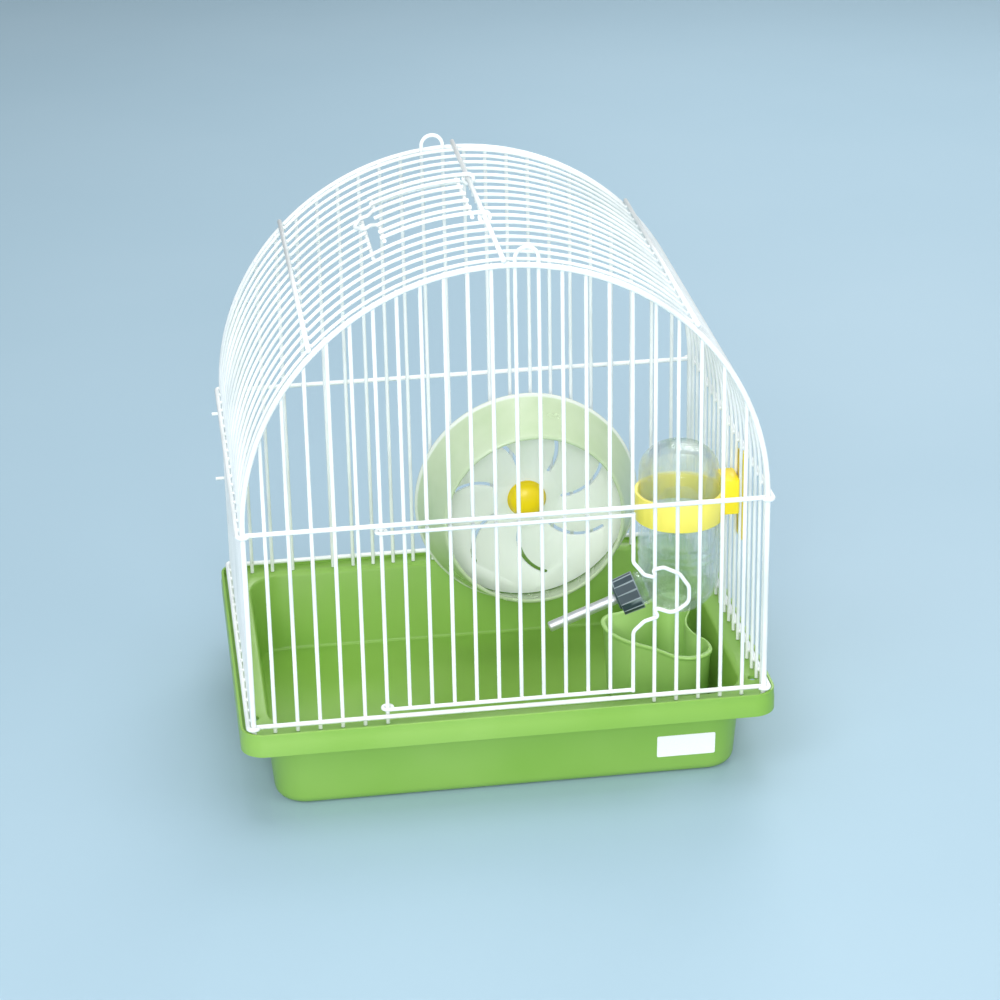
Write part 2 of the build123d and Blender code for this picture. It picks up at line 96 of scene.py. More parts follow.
class Finish:
    # one material: a Principled shader and the nodes that feed it
    def __init__(self, name, **fixed):
        self.material = bpy.data.materials.new(name)
        self.material.use_nodes = True
        self.tree = self.material.node_tree
        self.shader = next(n for n in self.tree.nodes if n.type == "BSDF_PRINCIPLED")
        self.place = self.add("ShaderNodeTexCoord", out="Object")
        for socket, value in fixed.items():
            self.shader.inputs[socket.replace("_", " ")].default_value = value

    def add(self, kind, settings=None, values=None, out=0):
        node = self.tree.nodes.new(kind)
        for key, value in (settings or {}).items():
            setattr(node, key, value)
        for key, value in (values or {}).items():
            self.feed(node.inputs[key], value)
        return Value(self, node.outputs[out])

    def feed(self, socket, value):
        if isinstance(value, Value):
            self.tree.links.new(value.socket, socket)
        else:
            socket.default_value = value

    def noise(self, scale, detail=3.0, roughness=0.5, place=None):
        values = {"Vector": place or self.place, "Scale": scale, "Detail": detail, "Roughness": roughness}
        return self.add("ShaderNodeTexNoise", None, values)

    def mask(self, value, low, high):
        return self.add("ShaderNodeMapRange", {"clamp": True}, {0: value, 1: low, 2: high, 3: 0.0, 4: 1.0})

    def mix(self, factor, first, second):
        return self.add("ShaderNodeMix", {"data_type": "RGBA"}, {0: factor, 6: first, 7: second}, out=2)

    def along(self, axis):
        # distance along one axis of the shared frame, 0 to 2 for x, y and z
        return self.add("ShaderNodeSeparateXYZ", None, {0: self.place}, out=axis)

    def bump(self, value, strength, distance):
        values = {"Height": value, "Strength": strength, "Distance": distance}
        self.feed(self.shader.inputs["Normal"], self.add("ShaderNodeBump", None, values))

    def use(self, colour=None, roughness=None):
        if colour is not None:
            self.feed(self.shader.inputs["Base Color"], colour)
        if roughness is not None:
            self.feed(self.shader.inputs["Roughness"], roughness)
        return self.material


def wirePaint():
    paint = {"fresh": "F4F7F7", "dull": "DDE3E3", "grime": "B9B6A6"}
    finish = Finish("whiteWirePaint", Coat_Weight=0.35, Coat_Roughness=0.12, IOR=1.48)
    cloud = finish.noise(26.0, 4.0)
    colour = finish.mix(finish.mask(cloud, 0.42, 0.72), tint(paint["fresh"]), tint(paint["dull"]))
    footBand = finish.mask(finish.along(2), 0.075, 0.045)
    speck = finish.mask(finish.noise(420.0, 2.0), 0.66, 0.74) * footBand
    colour = finish.mix(speck * 0.55, colour, tint(paint["grime"]))
    finish.bump(finish.noise(900.0, 2.0), 0.12, 0.0003)
    return finish.use(colour, 0.30 + 0.16 * cloud)


def mouldedPlastic(name, light, deep, rough, grain, clear=0.0):
    finish = Finish(name, IOR=1.47, Transmission_Weight=clear)
    flow = finish.noise(9.0, 3.0, 0.6)
    colour = finish.mix(finish.mask(flow, 0.35, 0.7), tint(light), tint(deep))
    scuff = finish.add("ShaderNodeMapping", None, {
        "Vector": finish.place, "Rotation": (0.2, 0.5, 0.3), "Scale": (1.0, 9.0, 1.0)})
    scratch = finish.mask(finish.noise(210.0, 5.0, 0.7, scuff), 0.60, 0.72)
    pebble = finish.noise(grain, 2.0)
    finish.bump(pebble * 0.6 + scratch * 0.4, 0.10, 0.0002)
    return finish.use(colour, rough + 0.10 * flow + 0.16 * scratch)


def clearBottle():
    finish = Finish("clearBottlePlastic", IOR=1.34, Transmission_Weight=0.92, Alpha=0.34)
    wave = finish.noise(60.0, 3.0)
    rain = finish.mask(finish.noise(700.0, 2.0), 0.58, 0.75)
    colour = finish.mix(wave, tint("F8FDFF"), tint("E4F4FA"))
    finish.bump(wave, 0.12, 0.0005)
    return finish.use(colour, 0.03 + 0.07 * rain)


def spoutSteel():
    finish = Finish("spoutSteel", Metallic=0.8)
    pull = finish.add("ShaderNodeMapping", None, {
        "Vector": finish.place, "Rotation": (0, math.radians(21), 0), "Scale": (0.04, 1.0, 1.0)})
    brush = finish.noise(2600.0, 4.0, 0.7, pull)
    colour = finish.mix(brush, tint("F0F0F2"), tint("D2D3D8"))
    finish.bump(brush, 0.15, 0.0001)
    return finish.use(colour, 0.30 + 0.16 * brush)


def capPlastic():
    finish = Finish("darkCapPlastic", IOR=1.48)
    cloud = finish.noise(120.0, 4.0)
    colour = finish.mix(cloud, tint("2B3A42"), tint("43545C"))
    # painted highlight: the sharp edges of the cap are mixed towards pale grey, standing in for light caught
    # on the bevels
    edge = finish.mask(finish.add("ShaderNodeNewGeometry", out="Pointiness"), 0.51, 0.56)
    colour = finish.mix(edge * 0.7, colour, tint("A9B6BC"))
    finish.bump(finish.noise(2400.0, 2.0), 0.2, 0.0002)
    return finish.use(colour, 0.42 + 0.2 * cloud)


def paperLabel():
    finish = Finish("labelPaper", IOR=1.4)
    fibre = finish.noise(2200.0, 5.0, 0.7)
    colour = finish.mix(finish.mask(fibre, 0.3, 0.8), tint("FCFCFA"), tint("E9EAE6"))
    finish.bump(fibre, 0.12, 0.0001)
    return finish.use(colour, 0.5 + 0.15 * fibre)


def sealRubber():
    finish = Finish("sealRubber", IOR=1.5)
    cloud = finish.noise(300.0, 3.0)
    finish.bump(cloud, 0.2, 0.0002)
    return finish.use(finish.mix(cloud, tint("D6D4CC"), tint("B9B7AF")), 0.6 + 0.2 * cloud)


slotFinish = {
    "green_plastic": mouldedPlastic("trayGreen", "8DB856", "7FAF43", 0.30, 1300.0),
    "bowl_green": mouldedPlastic("bowlGreen", "B0D684", "9DC96C", 0.26, 1500.0),
    "white_wire": wirePaint(),
    "wheel_green_clear": mouldedPlastic("wheelPaleGreen", "DDECCB", "CDE1B6", 0.20, 1400.0, 0.18),
    "wheel_milky_white": mouldedPlastic("wheelMilkyWhite", "F8FBF9", "EEF5F2", 0.30, 1400.0),
    "yellow_plastic": mouldedPlastic("clipYellow", "FFE92E", "FFDA0A", 0.28, 1500.0),
    "bottle_clear": clearBottle(),
    "dark_grey_plastic": capPlastic(),
    "seal_rubber": sealRubber(),
    "spout_steel": spoutSteel(),
    "label_paper": paperLabel(),
}
print("finishes ready")

for subpart in frame["record"]["subparts"]:
    node = frame["nodes"][subpart["node"]]
    node.data.materials.clear()
    node.data.materials.append(slotFinish[subpart["material_slot"]])


# tools for new pieces

def newPiece(name, bm, body, slot, stands=()):
    # a finished piece that rides on a body and may stand in for CAD nodes
    bmesh.ops.remove_doubles(bm, verts=bm.verts, dist=1e-6)
    bmesh.ops.recalc_face_normals(bm, faces=bm.faces)
    mesh = bpy.data.meshes.new(name)
    bm.to_mesh(mesh)
    bm.free()
    piece = bpy.data.objects.new(name, mesh)
    bpy.context.scene.collection.objects.link(piece)
    mesh.materials.append(slotFinish[slot])
    mesh.shade_smooth()
    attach(piece, body)
    if stands:
        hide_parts(*stands)
    return piece


def soften(piece, width, segments=2, angle=35):
    edge = piece.modifiers.new("softEdges", "BEVEL")
    edge.width = width
    edge.segments = segments
    edge.limit_method = "ANGLE"
    edge.angle_limit = math.radians(angle)
    edge.harden_normals = True
    return piece


def roundedCopy(nodeName, pieceName, width):
    # the CAD shape again, with its sharp edges rounded
    node = frame["nodes"][nodeName]
    bm = bmesh.new()
    bm.from_mesh(node.data)
    bmesh.ops.remove_doubles(bm, verts=bm.verts, dist=1e-6)
    bmesh.ops.dissolve_limit(bm, angle_limit=math.radians(1), verts=bm.verts, edges=bm.edges)
    slot = next(s["material_slot"] for s in frame["record"]["subparts"] if s["node"] == nodeName)
    return soften(newPiece(pieceName, bm, node["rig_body"], slot, (nodeName,)), width)


def madeVerts(result):
    return [item for item in result["geom"] if isinstance(item, bmesh.types.BMVert)]


def openEdges(result):
    edges = [item for item in result["geom"] if isinstance(item, bmesh.types.BMEdge)]
    return [edge for edge in edges if len(edge.link_faces) == 1]


def ringTower(bm, rings, segments):
    # a stack of rounded rectangles (half width, half depth, corner, height), closed at both ends
    first = rings[0]
    start = bmesh.ops.create_grid(bm, x_segments=1, y_segments=1, size=1.0)["verts"]
    bmesh.ops.scale(bm, vec=(first[0], first[1], 1), verts=start)
    bmesh.ops.translate(bm, vec=(0, 0, first[3]), verts=start)
    bmesh.ops.bevel(
        bm, geom=start, offset=first[2], segments=segments, profile=0.5, affect="VERTICES", material=-1)
    edges = list(bm.edges)
    for low, high in zip(rings, rings[1:]):
        made = bmesh.ops.extrude_edge_only(bm, edges=edges)
        edges = openEdges(made)
        for vertex in madeVerts(made):
            side = Vector((math.copysign(1, vertex.co.x), math.copysign(1, vertex.co.y)))
            lowMiddle = side * Vector((low[0] - low[2], low[1] - low[2]))
            highMiddle = side * Vector((high[0] - high[2], high[1] - high[2]))
            way = (vertex.co.xy - lowMiddle).normalized()
            vertex.co = Vector((*(highMiddle + way * high[2]), high[3]))
    bmesh.ops.contextual_create(bm, geom=edges)


def spinProfile(bm, points, centre, axis, steps, closed=False):
    # points are (distance along the axis, radius)
    side = Vector((0, 1, 0)) if abs(axis.y) < 0.9 else Vector((1, 0, 0))
    verts = [bm.verts.new(centre + axis * along + side * radius) for along, radius in points]
    edges = [bm.edges.new(pair) for pair in zip(verts, verts[1:])]
    if closed:
        edges.append(bm.edges.new((verts[-1], verts[0])))
    bmesh.ops.spin(
        bm, geom=verts + edges, cent=centre, axis=axis, angle=fullTurn, steps=steps, use_merge=True)


def runWire(bm, path, radius, sides=12):
    # a round wire carried from point to point, with a closed face on both ends
    heading = (path[1] - path[0]).normalized()
    turn = Vector((0, 0, 1)).rotation_difference(heading).to_matrix().to_4x4()
    circle = bmesh.ops.create_circle(
        bm, cap_ends=True, radius=radius, segments=sides, matrix=Matrix.Translation(path[0]) @ turn)
    edges = list({edge for vertex in circle["verts"] for edge in vertex.link_edges})
    for index in range(1, len(path)):
        made = bmesh.ops.extrude_edge_only(bm, edges=edges)
        edges = openEdges(made)
        verts = madeVerts(made)
        bmesh.ops.translate(bm, vec=path[index] - path[index - 1], verts=verts)
        incoming = (path[index] - path[index - 1]).normalized()
        last = index + 1 == len(path)
        outgoing = incoming if last else (path[index + 1] - path[index]).normalized()
        middle = incoming if last else (incoming + outgoing).normalized()
        turn = heading.rotation_difference(middle).to_matrix()
        bmesh.ops.rotate(bm, cent=path[index], matrix=turn, verts=verts)
        heading = middle
    bmesh.ops.contextual_create(bm, geom=edges)


def arc(centre, start, axis, angle, steps):
    # points of an arc that turns start about axis
    return [centre + Matrix.Rotation(angle * step / steps, 3, axis) @ start for step in range(steps + 1)]


# tray

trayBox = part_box("tray")
tray = {
    "rimHalf": (trayBox[1].x, trayBox[1].y), "rimCorner": 12 * mm, "top": trayBox[1].z,
    "tubHalf": (118 * mm, 86 * mm), "tubCorner": 16 * mm, "draft": math.radians(5),
    "wall": 2 * mm, "lip": 1.8 * mm, "ledge": 46.5 * mm, "skirt": 38 * mm, "floor": 2.6 * mm,
    "foot": 5 * mm, "innerFoot": 1.6 * mm, "hole": 2.4 * mm, "holeAt": (127 * mm, 76 * mm), "cornerSteps": 10,
}


def tubRing(height, inset=0.0):
    grow = height * math.tan(tray["draft"]) - inset
    halfX, halfY = tray["tubHalf"]
    return halfX + grow, halfY + grow, tray["tubCorner"] + grow, height


def rimRing(height, inset):
    halfX, halfY = tray["rimHalf"]
    return halfX - inset, halfY - inset, tray["rimCorner"] - inset, height


def roundedFoot(radius, height, inset, steps=4):
    # rings that turn from a flat base up into the wall
    turned = []
    for step in range(steps + 1):
        angle = math.pi / 2 * step / steps
        ring = tubRing(height + radius * (1 - math.cos(angle)), inset)
        pull = radius * (1 - math.sin(angle))
        turned.append((ring[0] - pull, ring[1] - pull, ring[2] - pull, ring[3]))
    return turned


def trayShell():
    wall, lip, ledge, skirt = tray["wall"], tray["lip"], tray["ledge"], tray["skirt"]
    rings = roundedFoot(tray["foot"], 0, 0)
    rings += [tubRing(ledge - wall), rimRing(ledge - wall, lip), rimRing(skirt, lip)]
    rings += [rimRing(skirt, 0), rimRing(ledge - 1.6 * mm, 0), rimRing(ledge - 1.0 * mm, 0.25 * mm)]
    rings += [rimRing(tray["top"] - 0.2 * mm, 0.25 * mm), rimRing(tray["top"], 0.5 * mm)]
    rings += [rimRing(tray["top"], lip - 0.3 * mm), rimRing(tray["top"] - 0.3 * mm, lip), rimRing(ledge, lip)]
    rings += [tubRing(ledge, wall - 1.2 * mm), tubRing(ledge - 0.5 * mm, wall - 0.4 * mm)]
    rings += [tubRing(ledge - 1.4 * mm, wall)]
    rings += list(reversed(roundedFoot(tray["innerFoot"], tray["floor"], wall)))
    bm = bmesh.new()
    ringTower(bm, rings, tray["cornerSteps"])
    shell = newPiece("trayShell", bm, "tray", "green_plastic", ("tray",))
    drill = bmesh.new()
    for sideX in (-1, 1):
        for sideY in (-1, 1):
            place = Vector((sideX * tray["holeAt"][0], sideY * tray["holeAt"][1], ledge))
            bmesh.ops.create_cone(
                drill, cap_ends=True, segments=20, radius1=tray["hole"], radius2=tray["hole"],
                depth=4 * wall, matrix=Matrix.Translation(place))
    bakeBoolean(shell, drill, "DIFFERENCE")
    return soften(shell, 0.35 * mm, 2, 32)


def bakeBoolean(piece, otherBm, operation):
    # the result becomes the mesh of the piece, and the other shape goes
    otherMesh = bpy.data.meshes.new("otherShape")
    otherBm.to_mesh(otherMesh)
    otherBm.free()
    other = bpy.data.objects.new("otherShape", otherMesh)
    bpy.context.scene.collection.objects.link(other)
    change = piece.modifiers.new("change", "BOOLEAN")
    change.operation = operation
    change.solver = "EXACT"
    change.object = other
    result = bpy.data.meshes.new_from_object(piece.evaluated_get(bpy.context.evaluated_depsgraph_get()))
    piece.modifiers.clear()
    piece.data = result
    piece.data.shade_smooth()
    bpy.data.objects.remove(other)


trayShell()
print("tray ready")


# food bowl

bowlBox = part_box("food_bowl")
bowl = {
    "outline": ((-30, 6), (-25, -10), (-8, -27), (6, -40), (19, -37), (22, -26), (15.5, -10),
                (15, 2), (20, 17), (21, 29), (12, 38), (-3, 28), (-17, 20), (-27, 16)),
    "foot": bowlBox[0].z, "rim": bowlBox[1].z, "wall": 1.6 * mm, "smooth": 6,
}


def bowlLoop():
    # the lobed outline as a smooth closed loop of edges
    curve = bpy.data.curves.new("bowlOutline", "CURVE")
    spline = curve.splines.new("BEZIER")
    spline.bezier_points.add(len(bowl["outline"]) - 1)
    for point, (x, y) in zip(spline.bezier_points, bowl["outline"]):
        point.co = (x * mm, y * mm, 0)
        point.handle_left_type = point.handle_right_type = "AUTO"
    spline.use_cyclic_u = True
    spline.resolution_u = bowl["smooth"]
    holder = bpy.data.objects.new("bowlOutline", curve)
    bpy.context.scene.collection.objects.link(holder)
    outline = bpy.data.meshes.new_from_object(
        holder.evaluated_get(bpy.context.evaluated_depsgraph_get()))
    bpy.data.objects.remove(holder)
    return outline


def foodBowl():
    foot, rim, wall = bowl["foot"], bowl["rim"], bowl["wall"]
    levels = [
        (0.86, foot), (0.892, foot + 0.4 * mm), (0.903, foot + 1.6 * mm), (0.972, rim - 3.0 * mm),
        (0.985, rim - 1.9 * mm), (1.0, rim - 1.5 * mm), (1.006, rim - 0.8 * mm), (1.0, rim - 0.2 * mm),
        (0.985, rim), (0.945, rim), (0.93, rim - 0.3 * mm), (0.922, rim - 1.2 * mm),
        (0.85, foot + wall + 2.2 * mm), (0.835, foot + wall + 0.6 * mm), (0.80, foot + wall),
    ]
    outline = bowlLoop()
    bm = bmesh.new()
    bm.from_mesh(outline)
    middle = Vector(((bowlBox[0].x + bowlBox[1].x) / 2, (bowlBox[0].y + bowlBox[1].y) / 2, 0))
    spread = [[vertex.co[axis] for vertex in bm.verts] for axis in (0, 1)]
    own = Vector([(min(values) + max(values)) / 2 for values in spread] + [0])
    centre = middle - own
    bmesh.ops.translate(bm, vec=centre, verts=bm.verts)
    edges = base = list(bm.edges)
    size, height = 1.0, 0.0
    for number, (newSize, newHeight) in enumerate(levels):
        if number:
            made = bmesh.ops.extrude_edge_only(bm, edges=edges)
            verts, edges = madeVerts(made), openEdges(made)
        else:
            verts = list(bm.verts)
        grow = newSize / size
        bmesh.ops.scale(bm, vec=(grow, grow, 1), verts=verts, space=Matrix.Translation(-centre))
        bmesh.ops.translate(bm, vec=(0, 0, newHeight - height), verts=verts)
        size, height = newSize, newHeight
    bmesh.ops.contextual_create(bm, geom=edges)
    bmesh.ops.contextual_create(bm, geom=base)
    return newPiece("foodBowl", bm, "bowl", "bowl_green", ("food_bowl",))


foodBowl()
print("bowl ready")


# wheel

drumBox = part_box("wheel_drum")
wheel = {
    "centre": Vector(((drumBox[0].x + drumBox[1].x) / 2, 0, (drumBox[0].z + drumBox[1].z) / 2)),
    "front": drumBox[0].y, "back": drumBox[1].y, "backRadius": 60.5 * mm, "frontRadius": 49.5 * mm,
    "wall": 1.5 * mm, "steps": 96, "rungs": 36, "rungTall": 0.7 * mm, "rungWide": 0.9 * mm,
    "capFront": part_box("wheel_hub_cap")[0].y, "capBack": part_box("wheel_hub_cap")[1].y,
    "capRadius": 10 * mm, "capBore": 7.7 * mm, "capSteps": 48,
}
acrossWheel = Vector((0, 1, 0))


def wheelDrum():
    front, back, wide, small = wheel["front"], wheel["back"], wheel["backRadius"], wheel["frontRadius"]
    wall = wheel["wall"]
    profile = [
        (front + 0.3 * mm, small - 2.1 * mm), (front, small - 1.8 * mm), (front, small - 0.9 * mm),
        (front + 0.5 * mm, small - 0.25 * mm), (front + 1.6 * mm, small + 0.3 * mm),
        (back - 3.4 * mm, wide - 0.5 * mm), (back - 2.6 * mm, wide - 0.1 * mm),
        (back - 2.3 * mm, wide + 0.6 * mm), (back - 1.6 * mm, wide + 1.1 * mm),
        (back - 0.8 * mm, wide + 1.1 * mm), (back - 0.1 * mm, wide + 0.5 * mm), (back, wide - 0.4 * mm),
        (back - 0.1 * mm, wide - wall + 0.1 * mm), (back - 0.5 * mm, wide - wall - 0.1 * mm),
        (front + 2.6 * mm, small - wall + 0.3 * mm), (front + 1.9 * mm, small - 1.5 * mm),
        (front + 1.4 * mm, small - 2.0 * mm), (front + 0.9 * mm, small - 2.1 * mm),
    ]
    bm = bmesh.new()
    spinProfile(bm, profile, wheel["centre"], acrossWheel, wheel["steps"], closed=True)
    length = back - front - 6 * mm
    lean = math.atan2(wide - small, back - front)
    middle = (wide + small) / 2 - wall - wheel["rungTall"] / 2 + 0.1 * mm
    for number in range(wheel["rungs"]):
        turn = Matrix.Rotation(fullTurn * number / wheel["rungs"], 4, acrossWheel)
        place = Matrix.Translation(wheel["centre"] + acrossWheel * (front + back) / 2) @ turn
        place = place @ Matrix.Translation((0, 0, middle)) @ Matrix.Rotation(lean, 4, Vector((1, 0, 0)))
        rung = bmesh.ops.create_cube(bm, size=1.0)["verts"]
        bmesh.ops.scale(bm, vec=(wheel["rungWide"], length, wheel["rungTall"]), verts=rung)
        bmesh.ops.transform(bm, matrix=place, verts=rung)
    piece = newPiece("wheelDrum", bm, "wheel", "wheel_green_clear", ("wheel_drum",))
    return soften(piece, 0.2 * mm, 1, 50)


def hubCap():
    front, back, radius = wheel["capFront"], wheel["capBack"], wheel["capRadius"]
    profile = [
        (back, wheel["capBore"]), (back, radius + 0.6 * mm), (back - 0.9 * mm, radius + 0.7 * mm),
        (back - 1.3 * mm, radius + 0.1 * mm), (front + 4.6 * mm, radius - 0.2 * mm),
        (front + 3.2 * mm, radius - 0.8 * mm), (front + 1.9 * mm, radius - 2.2 * mm),
        (front + 0.8 * mm, radius - 4.5 * mm), (front + 0.2 * mm, radius - 7 * mm), (front, 0),
    ]
    bm = bmesh.new()
    spinProfile(bm, profile, wheel["centre"], acrossWheel, wheel["capSteps"])
    return newPiece("hubCap", bm, "wheel", "yellow_plastic", ("wheel_hub_cap",))


def drumFinish():
    # the pale green of the drum, clearer and whiter at the bead round its back
    finish = Finish("drumPaleGreen", IOR=1.47, Transmission_Weight=0.22)
    flow = finish.noise(14.0, 4.0, 0.6)
    colour = finish.mix(finish.mask(flow, 0.35, 0.7), tint("DDECCB"), tint("C6DCAE"))
    edge = finish.mask(finish.along(1), wheel["back"] - 3.4 * mm, wheel["back"] - 2.4 * mm)
    colour = finish.mix(edge * 0.85, colour, tint("F8FCF5"))
    haze = finish.noise(70.0, 4.0, 0.6)
    finish.bump(haze, 0.06, 0.0002)
    return finish.use(colour, 0.18 + 0.10 * flow + 0.06 * haze)


drum = wheelDrum()
drum.data.materials[0] = drumFinish()
hubCap()
roundedCopy("wheel_disc", "wheelDisc", 0.3 * mm)
roundedCopy("wheel_bracket", "wheelBracket", 0.6 * mm)
roundedCopy("wheel_clamp_nut", "wheelClampNut", 0.6 * mm)
print("wheel ready")


# water bottle

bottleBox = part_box("bottle")
bottleRadius = (bottleBox[1].y - bottleBox[0].y) / 2
bottle = {
    "radius": bottleRadius, "x": bottleBox[1].x - bottleRadius,
    "y": (bottleBox[0].y + bottleBox[1].y) / 2, "low": 86 * mm, "shoulder": 143 * mm,
    "top": bottleBox[1].z, "wall": 1.2 * mm, "slope": math.radians(21), "bottomSteps": 12,
    "topSteps": 10, "fullness": 0.86, "bands": (97 * mm, 101 * mm, 105 * mm), "steps": 64,
    "neck": 8.5 * mm, "neckStart": 10 * mm, "neckEnd": 28.5 * mm, "neckSteps": 40,
    "capStart": 22.8 * mm, "capEnd": 34.2 * mm, "capRadius": 10.4 * mm, "capSides": 12,
    "tube": 2.75 * mm, "tubeStart": 25 * mm, "tubeSteps": 36, "bore": 2.3 * mm, "tip": 73 * mm,
    "paleRing": 2.3 * mm,
}
spoutWay = Vector((-math.cos(bottle["slope"]), 0, -math.sin(bottle["slope"])))
spoutRoot = Vector((bottle["x"], bottle["y"], bottle["low"]))


def bottleBody():
    radius, low, shoulder = bottle["radius"] - 0.05 * mm, bottle["low"], bottle["shoulder"]
    neck, neckStart, neckEnd = bottle["neck"], bottle["neckStart"], bottle["neckEnd"]
    profile = []
    for step in range(bottle["bottomSteps"] + 1):
        angle = math.pi / 2 * step / bottle["bottomSteps"]
        profile.append((low - radius * math.cos(angle), radius * math.sin(angle)))
    for band in bottle["bands"]:
        profile += [(band - 0.8 * mm, radius), (band, radius + 0.3 * mm), (band + 0.8 * mm, radius)]
    profile += [(shoulder - 2 * mm, radius), (shoulder, radius)]
    rise = bottle["top"] - shoulder
    for step in range(1, bottle["topSteps"] + 1):
        angle = math.pi / 2 * step / bottle["topSteps"]
        across = radius * math.cos(angle) ** bottle["fullness"]
        profile.append((shoulder + rise * math.sin(angle), across))
    profile[-1] = (bottle["top"], 0)
    bm = bmesh.new()
    foot = Vector((bottle["x"], bottle["y"], 0))
    spinProfile(bm, profile, foot, Vector((0, 0, 1)), bottle["steps"])
    body = newPiece("bottleBody", bm, "bottle", "bottle_clear", ("bottle", "bottle_seal"))
    neckBm = bmesh.new()
    neckProfile = [
        (neckStart, 0), (neckStart, neck), (19.5 * mm, neck), (20.2 * mm, neck + 0.9 * mm),
        (21.4 * mm, neck + 0.9 * mm), (22.1 * mm, neck), (neckEnd, neck), (neckEnd, 0),
    ]
    spinProfile(neckBm, neckProfile, spoutRoot, spoutWay, bottle["neckSteps"])
    bmesh.ops.remove_doubles(neckBm, verts=neckBm.verts, dist=1e-6)
    bmesh.ops.recalc_face_normals(neckBm, faces=neckBm.faces)
    bakeBoolean(body, neckBm, "UNION")
    thick = body.modifiers.new("wall", "SOLIDIFY")
    thick.thickness = bottle["wall"]
    thick.offset = -1
    return body


def bottleCap():
    length = bottle["capEnd"] - bottle["capStart"]
    bm = bmesh.new()
    bmesh.ops.create_cone(
        bm, cap_ends=True, segments=bottle["capSides"], radius1=bottle["capRadius"],
        radius2=bottle["capRadius"] - 0.5 * mm, depth=length)
    sides = [face for face in bm.faces if len(face.verts) == 4]
    bmesh.ops.inset_individual(bm, faces=sides, thickness=0.7 * mm, depth=-0.4 * mm)
    outer = max(bm.faces, key=lambda face: face.calc_center_median().z)
    bmesh.ops.inset_region(bm, faces=[outer], thickness=3.2 * mm, depth=0)
    bmesh.ops.inset_region(bm, faces=[outer], thickness=0.8 * mm, depth=1.1 * mm)
    turn = Vector((0, 0, 1)).rotation_difference(spoutWay).to_matrix().to_4x4()
    middle = spoutRoot + spoutWay * (bottle["capStart"] + bottle["capEnd"]) / 2
    bmesh.ops.transform(bm, matrix=Matrix.Translation(middle) @ turn, verts=bm.verts)
    piece = newPiece("bottleCap", bm, "bottle", "dark_grey_plastic", ("bottle_cap",))
    return soften(piece, 0.35 * mm, 2, 20)


def spoutTube():
    tube, bore, tip, start = bottle["tube"], bottle["bore"], bottle["tip"], bottle["tubeStart"]
    profile = [
        (start, bore), (start, tube), (36.5 * mm, tube), (37 * mm, tube + 0.2 * mm),
        (37.8 * mm, tube + 0.2 * mm), (38.3 * mm, tube), (tip - 0.9 * mm, tube),
        (tip - 0.35 * mm, tube - 0.2 * mm), (tip, tube - 0.6 * mm), (tip, 1.75 * mm),
        (tip - 0.3 * mm, 1.7 * mm), (tip - 0.6 * mm, bore),
    ]
    bm = bmesh.new()
    spinProfile(bm, profile, spoutRoot, spoutWay, bottle["tubeSteps"], closed=True)
    return newPiece("spoutTube", bm, "bottle", "spout_steel", ("spout_tube",))


bottleBody()
bottleCap()
spoutTube()
holder = roundedCopy("bottle_holder", "bottleHolder", 0.5 * mm)
holder.data.materials.append(mouldedPlastic("ringPaleYellow", "FFF27A", "FFEC55", 0.26, 1500.0))
for polygon in holder.data.polygons:
    reach = (polygon.center.xy - Vector((bottle["x"], bottle["y"]))).length
    polygon.material_index = int(reach < bottle["radius"] + bottle["paleRing"])
roundedCopy("holder_clamp", "holderClamp", 0.6 * mm)
roundedCopy("holder_screw", "holderScrew", 0.5 * mm)
print("bottle ready")


# wires

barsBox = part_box("front_bars")
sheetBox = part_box("roof_wires_front")
wires = {
    "bar": 1 * mm, "frame": 1.4 * mm, "rail": 1.2 * mm, "sheet": 0.9 * mm,
    "barPlane": 93 * mm, "framePlane": 95.42 * mm, "spring": 155.5 * mm, "base": 51.6 * mm,
    "arch": 128.8 * mm, "frameArch": 128.3 * mm, "bars": 22, "rows": 17,
    "firstBar": barsBox[0].x + 1 * mm, "barStep": (barsBox[1].x - barsBox[0].x - 2 * mm) / 21,
    "firstSheet": sheetBox[0].y + 0.9 * mm,
    "sheetStep": (sheetBox[1].y - sheetBox[0].y - 1.8 * mm) / 5,
    "doorway": range(7, 18), "doorBars": range(7, 17), "doorTop": 151.5 * mm,
    "doorBottom": 55.6 * mm, "doorPlane": 95.35 * mm, "curl": math.radians(150), "curlSteps": 10,
}


def barX(index):
    return wires["firstBar"] + (index - 1) * wires["barStep"]


def archPoint(radius, angle, y):
    return Vector((radius * math.sin(angle), y, wires["spring"] + radius * math.cos(angle)))


def weldSpots(name, body, places, radius=1.25 * mm):
    # places are (point, axis through both wires)
    bm = bmesh.new()
    for point, axis in places:
        turn = Vector((0, 0, 1)).rotation_difference(axis).to_matrix().to_4x4()
        flat = Matrix.Diagonal((1.0, 1.0, 0.75, 1.0))
        bmesh.ops.create_uvsphere(
            bm, u_segments=8, v_segments=5, radius=radius, matrix=Matrix.Translation(point) @ turn @ flat)
    return newPiece(name, bm, body, "white_wire")


def panelWelds():
    places = []
    for side in (-1, 1):
        through = Vector((0, side, 0))
        y = side * (wires["barPlane"] + wires["bar"])
        for index in range(1, wires["bars"] + 1):
            x = barX(index)
            places.append((Vector((x, y, wires["spring"])), through))
            if side > 0 or index not in wires["doorway"]:
                places.append((Vector((x, y, wires["base"])), through))
            top = wires["spring"] + math.sqrt(wires["frameArch"] ** 2 - x * x)
            places.append((Vector((x, y, top)), through))
    return weldSpots("panelWelds", "cage", places)


